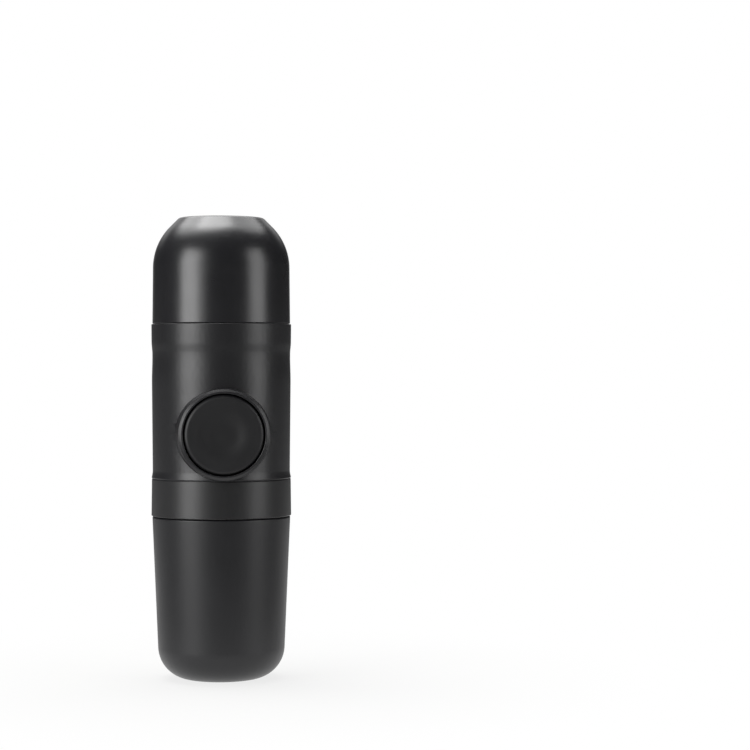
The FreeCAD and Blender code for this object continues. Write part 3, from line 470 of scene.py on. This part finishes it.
def shell_rim():
    """The rounded rim of the shell, just under the cup's edge."""
    rounding, bore, bore_drop, under, under_drop, taper = 0.4, 28.4, 0.5, 29.6, 0.9, 0.004
    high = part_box("body_shell")[1]
    rim, outside = high[2] / MM, high[0] / MM
    section = [
        (outside - rounding * (1 - math.sin(tilt)), rim - rounding * (1 - math.cos(tilt)))
        for tilt in (math.radians(step) for step in range(0, 91, 10))
    ]
    piece = turn_piece("shell_rim", [(bore, rim - bore_drop), (bore, rim)] + section + [
        (outside - taper, rim - under_drop), (under, rim - under_drop),
    ], steps=256)
    finish_piece(piece, "main_body", shell_abs, sharp=42)


def shell_foot_flare():
    """The flare at the shell's foot, which meets the collar at the collar's own width."""
    inside, wall, flare, flare_height, flare_span, lift = 29.0, 29.42, 0.44, 4.0, 3.3, 0.14
    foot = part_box("body_shell")[0][2] / MM
    heights = (4.1, 3.6, 3.1, 2.6, 2.1, 1.6, 1.15, 0.7)
    section = [
        (wall + flare * ((flare_height - height) / flare_span) ** 2, foot + height)
        for height in heights
    ]
    # Under the flare its edge is rounded, down to just above the shell's foot.
    piece = turn_piece("shell_foot_flare", [(inside, foot + heights[0])] + section + [
        (29.87, foot + 0.5), (29.8, foot + 0.3), (29.62, foot + lift), (inside, foot + lift),
    ], steps=192)
    finish_piece(piece, "main_body", shell_abs, sharp=50)


def boss_lip():
    """The lip of the boss: a narrow rounded crest by the knob and a slope to the boss's side."""
    bore, side, below_knob, depth = 17.22, 18.98, 0.1, 1.6
    rounding, crest, bend, slope = 0.3, 0.38, 0.75, math.radians(37)
    low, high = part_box("knob")
    face, axis = -low[1] / MM, (low[2] + high[2]) / 2 / MM
    crown = face - below_knob
    inner = [
        (bore + rounding * (1 - math.sin(tilt)), crown - rounding * (1 - math.cos(tilt)))
        for tilt in (math.radians(step) for step in range(90, 0, -15))
    ]
    outer = [
        (bore + crest + bend * math.sin(tilt), crown - bend * (1 - math.cos(tilt)))
        for tilt in (math.radians(step) for step in range(0, 38, 6))
    ]
    drop = (side - outer[-1][0]) * math.tan(slope)
    piece = turn_piece("boss_lip", [(bore, face - depth)] + inner + outer + [
        (side, outer[-1][1] - drop), (side, face - depth),
    ], steps=160)
    bpy.ops.object.mode_set(mode="OBJECT")
    piece.rotation_euler.x = math.pi / 2
    piece.location.z = axis * MM
    bpy.ops.object.transform_apply(location=True, rotation=True, scale=True)
    finish_piece(piece, "main_body", shell_abs, sharp=40)


waisted_shell()
shell_rim()
shell_foot_flare()
boss_lip()


def snap_bead():
    """The upper of the head's two snap beads, 2 mm over the lower one."""
    bead_height, half_width, flange_step, sunk, rounding = 15.3, 0.75, 0.4, 0.3, 0.2
    low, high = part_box("outlet_head")
    crest = high[0] / MM
    root = crest - flange_step - sunk
    middle = low[2] / MM + bead_height
    piece = turn_piece("upper_snap_bead", [
        (root, middle - half_width), (crest, middle), (root, middle + half_width),
    ], steps=128)
    round_rings(piece, [(crest, middle)], rounding, segments=4)
    finish_piece(piece, "head", cup_abs, sharp=50)


snap_bead()


def pressed_basket():
    """The basket as it is drawn from sheet: rounded shoulders, a curled rim, a turned-in lip."""
    rim_width, rim_height, sheet, lip_width, lip_height = 1.2, 0.8, 0.6, 2.4, 0.7
    low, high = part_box("filter_basket")
    rim, foot, top = high[0] / MM, low[2] / MM, high[2] / MM
    wall = rim - rim_width
    bore = wall - sheet
    lip = bore - lip_width
    curl, under_lip = foot + rim_height, top - lip_height
    piece = turn_piece("pressed_basket", [
        (bore, foot), (rim, foot), (rim, curl), (wall, curl), (wall, top),
        (lip, top), (lip, under_lip), (bore, under_lip),
    ], steps=128)
    round_rings(piece, [(wall, top)], 1.3, segments=8)
    round_rings(piece, [(bore, under_lip)], 0.6, segments=6)
    round_rings(piece, [(rim, foot), (rim, curl)], 0.38, segments=6)
    round_rings(piece, [(wall, curl)], 0.2, segments=3)
    round_rings(piece, [(bore, foot)], 0.5, segments=4)
    round_rings(piece, [(lip, top), (lip, under_lip)], 0.25, segments=4)
    finish_piece(piece, "basket", pressed_steel, sharp=50)
    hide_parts("filter_basket")


pressed_basket()


def pan_screw(name, head_radius, head_height, shank_radius, seat, tip):
    """A pan-head tapping screw on the Z axis: domed head, cross recess and coarse thread."""
    on_edge = 0.001 * MM
    dome = 0.55 * head_height
    deselect()
    bpy.ops.mesh.primitive_cylinder_add(
        vertices=48, radius=head_radius * MM, depth=head_height * MM,
        location=(0, 0, (seat + head_height / 2) * MM),
    )
    screw = bpy.context.object
    screw.name = name
    bpy.ops.object.transform_apply(location=True, rotation=True, scale=True)
    bpy.ops.object.mode_set(mode="EDIT")
    top = (seat + head_height) * MM
    pick_edges(screw, lambda edge: all(abs(point.co.z - top) < on_edge for point in edge.verts))
    bpy.ops.mesh.bevel(offset_type="OFFSET", offset=dome * MM, segments=6,
                       profile=0.5, affect="EDGES", clamp_overlap=True)
    bpy.ops.object.mode_set(mode="OBJECT")

    # Cross recess: two bars, tapered towards their feet, are cut out of the head.
    bar_length, bar_width, recess_depth, taper = 3.0, 0.75, 1.2, 0.55
    for turn in (0, math.pi / 2):
        deselect()
        bpy.ops.mesh.primitive_cube_add(size=1, location=(0, 0, top), rotation=(0, 0, turn))
        bar = bpy.context.object
        bar.scale = (bar_length * MM, bar_width * MM, 2 * recess_depth * MM)
        bpy.ops.object.transform_apply(location=True, rotation=True, scale=True)
        bpy.ops.object.mode_set(mode="EDIT")
        pick(bar, lambda co: co.z < top)
        bpy.ops.transform.resize(value=(taper, taper, 1), center_override=(0, 0, top))
        bpy.ops.object.mode_set(mode="OBJECT")
        deselect()
        screw.select_set(True)
        bpy.context.view_layer.objects.active = screw
        recess = screw.modifiers.new("recess", "BOOLEAN")
        recess.operation = "DIFFERENCE"
        recess.solver = "EXACT"
        recess.object = bar
        bpy.ops.object.modifier_apply(modifier=recess.name)
        bpy.data.objects.remove(bar)

    # Shank: its core is three quarters of the thread's radius, and it reaches into the head.
    core, sunk, tip_edge = 0.76 * shank_radius, 0.2, 0.35
    length = seat - tip
    deselect()
    bpy.ops.mesh.primitive_cylinder_add(
        vertices=32, radius=core * MM, depth=(length + sunk) * MM,
        location=(0, 0, (tip + (length + sunk) / 2) * MM),
    )
    shank = bpy.context.object
    bpy.ops.object.transform_apply(location=True, rotation=True, scale=True)
    bpy.ops.object.mode_set(mode="EDIT")
    end = tip * MM
    pick_edges(shank, lambda edge: all(abs(point.co.z - end) < on_edge for point in edge.verts))
    bpy.ops.mesh.bevel(offset_type="OFFSET", offset=tip_edge * MM, segments=2, affect="EDGES",
                       clamp_overlap=True)
    bpy.ops.object.mode_set(mode="OBJECT")
    ridge = thread_ridge(
        "screw_ridge", root=core - 0.04, crest=shank_radius, foot=0.5, land=0.14,
        low=tip + 0.7, lead=1.0, turns=length - 1.3, start=0, steps=32,
    )
    bpy.ops.object.mode_set(mode="OBJECT")
    deselect()
    for piece in (shank, ridge, screw):
        piece.select_set(True)
    bpy.context.view_layer.objects.active = screw
    bpy.ops.object.join()
    return screw


def chassis_screw_set():
    """The four screws of the chassis, at 45 degrees to the pump's axis."""
    low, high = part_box("chassis_screws")
    head_radius, head_height, shank_radius = 2.6, 1.8, 1.25
    across = (high[0] / MM - head_radius) * math.sqrt(2)
    seat = high[2] / MM - head_height
    first = pan_screw(
        "chassis_screws_threaded", head_radius, head_height, shank_radius, seat, low[2] / MM,
    )
    screws = [first]
    for _ in range(3):
        screw = first.copy()
        screw.data = first.data.copy()
        bpy.context.scene.collection.objects.link(screw)
        screws.append(screw)
    for index, screw in enumerate(screws):
        turn = math.radians(45 + 90 * index)
        # Each recess stops where its screw came tight.
        screw.rotation_euler.z = math.radians(17 + 131 * index)
        screw.location = (across * math.cos(turn) * MM, across * math.sin(turn) * MM, 0)
    deselect()
    for screw in screws:
        screw.select_set(True)
    bpy.context.view_layer.objects.active = first
    bpy.ops.object.transform_apply(location=True, rotation=True, scale=True)
    bpy.ops.object.join()
    finish_piece(first, "main_body", pressed_steel, sharp=40)
    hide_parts("chassis_screws")


chassis_screw_set()


# ---------------------------------------------------------------- studio

# The picture's side, the column of the maker's axis and the row of the eye's height, in pixels,
# and the size of a pixel at the maker's axis.
FRAME_SIDE = 750
AXIS_COLUMN = 221.4
EYE_ROW = 359.7
PIXEL_SIZE = 0.4315 * MM
EYE_HEIGHT = 137 * MM
EYE_DISTANCE = 970 * MM
EYE_AZIMUTH = math.radians(-1.8)
SENSOR = 36.0
SOFTBOX_DISTANCE = 0.9
SOFTBOX_HEIGHT = 0.69


def set_camera():
    """Looks at the maker from a little to its left, at a height between its knob and its cup."""
    data = bpy.data.cameras.new("camera")
    data.sensor_width = SENSOR
    data.lens = SENSOR * EYE_DISTANCE / (FRAME_SIDE * PIXEL_SIZE)
    camera = bpy.data.objects.new("camera", data)
    bpy.context.scene.collection.objects.link(camera)
    camera.location = (
        EYE_DISTANCE * math.sin(EYE_AZIMUTH), -EYE_DISTANCE * math.cos(EYE_AZIMUTH), EYE_HEIGHT,
    )
    pan = math.atan((FRAME_SIDE / 2 - AXIS_COLUMN) * PIXEL_SIZE / EYE_DISTANCE)
    tilt = math.atan((FRAME_SIDE / 2 - EYE_ROW) * PIXEL_SIZE / EYE_DISTANCE)
    camera.rotation_euler = (math.pi / 2 - tilt, 0, EYE_AZIMUTH - pan)
    bpy.context.scene.camera = camera


def add_softbox(name, place, aim, size, radiance, shape="RECTANGLE"):
    """An area lamp with an even face, whose power follows from the brightness of its face."""
    data = bpy.data.lights.new(name, "AREA")
    data.shape = shape
    data.size, data.size_y = size
    lit_share = math.pi / 4 if shape == "ELLIPSE" else 1
    data.energy = radiance * math.pi * size[0] * size[1] * lit_share
    lamp = bpy.data.objects.new(name, data)
    bpy.context.scene.collection.objects.link(lamp)
    lamp.location = place
    lamp.rotation_euler = (Vector(aim) - lamp.location).to_track_quat("-Z", "Y").to_euler()


def stand_softbox(name, azimuth, width, radiance):
    """An upright softbox on the floor, at an azimuth from the front, facing the maker's axis."""
    turn = math.radians(azimuth)
    middle = SOFTBOX_HEIGHT / 2
    place = (SOFTBOX_DISTANCE * math.sin(turn), -SOFTBOX_DISTANCE * math.cos(turn), middle)
    add_softbox(name, place, (0, 0, middle), (width, SOFTBOX_HEIGHT), radiance)


def hang_softbox(name, place, size, radiance):
    """An oval softbox overhead that faces straight down."""
    add_softbox(name, place, (place[0], place[1], 0), size, radiance, "ELLIPSE")


def set_world():
    """Even studio fill, white to the camera. Gloss sees it dark, but white high behind the maker."""
    world = bpy.data.worlds.new("studio")
    bpy.context.scene.world = world
    world.use_nodes = True
    tree = world.node_tree
    tree.nodes.clear()
    rays = add(tree, "ShaderNodeLightPath").outputs
    direction = add(tree, "ShaderNodeTexCoord").outputs["Generated"]
    split = add(tree, "ShaderNodeSeparateXYZ", {"Vector": direction})
    # Straight behind the maker a grey wall, and over that a white one.
    behind = add(tree, "ShaderNodeMapRange", {
        "Value": split.outputs["Y"], "From Min": 0.88, "From Max": 1.0, "To Min": 0.04, "To Max": 0.3,
    }, interpolation_type="SMOOTHSTEP")
    above = add(tree, "ShaderNodeMapRange", {
        "Value": split.outputs["Z"], "From Min": 0.2, "From Max": 0.36,
    }, interpolation_type="SMOOTHSTEP")
    back = add(tree, "ShaderNodeMapRange", {
        "Value": split.outputs["Y"], "From Min": 0.68, "From Max": 0.9, "To Max": 0.9,
    }, interpolation_type="SMOOTHSTEP")
    wall = add(tree, "ShaderNodeMath", {
        0: above.outputs["Result"], 1: back.outputs["Result"], 2: behind.outputs["Result"],
    }, operation="MULTIPLY_ADD")
    # Gloss sees the walls, and soft light comes evenly from all round.
    mirror = add(tree, "ShaderNodeMath", {
        0: rays["Is Glossy Ray"], 1: rays["Is Transmission Ray"],
    }, operation="MAXIMUM")
    gloss = add(tree, "ShaderNodeMix", {
        0: mirror.outputs[0], 2: 0.15, 3: wall.outputs[0],
    }, data_type="FLOAT")
    level = add(tree, "ShaderNodeMix", {
        0: rays["Is Camera Ray"], 2: gloss.outputs[0], 3: 1.0,
    }, data_type="FLOAT")
    backdrop = add(tree, "ShaderNodeBackground", {
        "Color": (1, 1, 1, 1), "Strength": level.outputs[0],
    })
    add(tree, "ShaderNodeOutputWorld", {"Surface": backdrop.outputs["Background"]})


def set_floor():
    """A pale sweep that keeps the maker's shadow near it and fades to the white backdrop."""
    deselect()
    bpy.ops.mesh.primitive_plane_add(size=12, location=(0, 0, 0))
    floor = bpy.context.object
    floor.name = "floor"
    material, tree = new_tree("pale_floor")
    rays = add(tree, "ShaderNodeLightPath").outputs
    place = add(tree, "ShaderNodeTexCoord").outputs["Object"]
    away = add(tree, "ShaderNodeVectorMath", {0: place}, operation="LENGTH")
    fade = add(tree, "ShaderNodeMapRange", {
        "Value": away.outputs["Value"], "From Min": 0.02, "From Max": 0.2,
        "To Min": 0.8, "To Max": 1.0,
    }, interpolation_type="SMOOTHSTEP")
    # To gloss it is brightest under the maker, then close behind it, and dim in front and far off.
    split = add(tree, "ShaderNodeSeparateXYZ", {"Vector": place})
    sweep = add(tree, "ShaderNodeMapRange", {
        "Value": split.outputs["Y"], "From Min": -0.1, "From Max": 0.3,
        "To Min": 0.32, "To Max": 0.9,
    }, interpolation_type="SMOOTHSTEP")
    distant = add(tree, "ShaderNodeMapRange", {
        "Value": away.outputs["Value"], "From Min": 0.3, "From Max": 1.1,
        "To Min": sweep.outputs["Result"], "To Max": 0.22,
    }, interpolation_type="SMOOTHSTEP")
    near = add(tree, "ShaderNodeMapRange", {
        "Value": away.outputs["Value"], "From Min": 0.05, "From Max": 0.2,
        "To Min": 1.0, "To Max": distant.outputs["Result"],
    }, interpolation_type="SMOOTHSTEP")
    level = add(tree, "ShaderNodeMix", {
        0: rays["Is Camera Ray"], 2: near.outputs["Result"], 3: 1.0,
    }, data_type="FLOAT")
    # Soft light meets a matt floor, gloss its glow, and the camera some of each by the maker.
    matt = add(tree, "ShaderNodeBsdfDiffuse", {"Color": linear("#bcbcba")})
    glow = add(tree, "ShaderNodeEmission", {"Color": (1, 1, 1, 1), "Strength": level.outputs[0]})
    seen = add(tree, "ShaderNodeMath", {
        0: rays["Is Camera Ray"], 1: fade.outputs["Result"],
    }, operation="MULTIPLY")
    share = add(tree, "ShaderNodeMath", {0: rays["Is Glossy Ray"], 1: seen.outputs[0]})
    blend = add(tree, "ShaderNodeMixShader", {
        0: share.outputs[0], 1: matt.outputs["BSDF"], 2: glow.outputs["Emission"],
    })
    add(tree, "ShaderNodeOutputMaterial", {"Surface": blend.outputs["Shader"]})
    floor.data.materials.append(material)


set_camera()
set_world()
set_floor()
stand_softbox("left_softbox", azimuth=-55.5, width=0.49, radiance=6.6)
stand_softbox("left_wing", azimuth=-34, width=0.16, radiance=1.5)
stand_softbox("right_softbox", azimuth=60, width=0.44, radiance=3.5)
hang_softbox("top_softbox", place=(-0.10, 0.05, 0.9), size=(0.50, 0.42), radiance=6.8)
hang_softbox("left_ceiling", place=(-0.36, 0.42, 0.91), size=(0.42, 1.0), radiance=1.8)
hang_softbox("ceiling_softbox", place=(-0.03, 0.37, 0.92), size=(1.46, 1.04), radiance=3.0)

bpy.context.scene.view_settings.view_transform = "Standard"
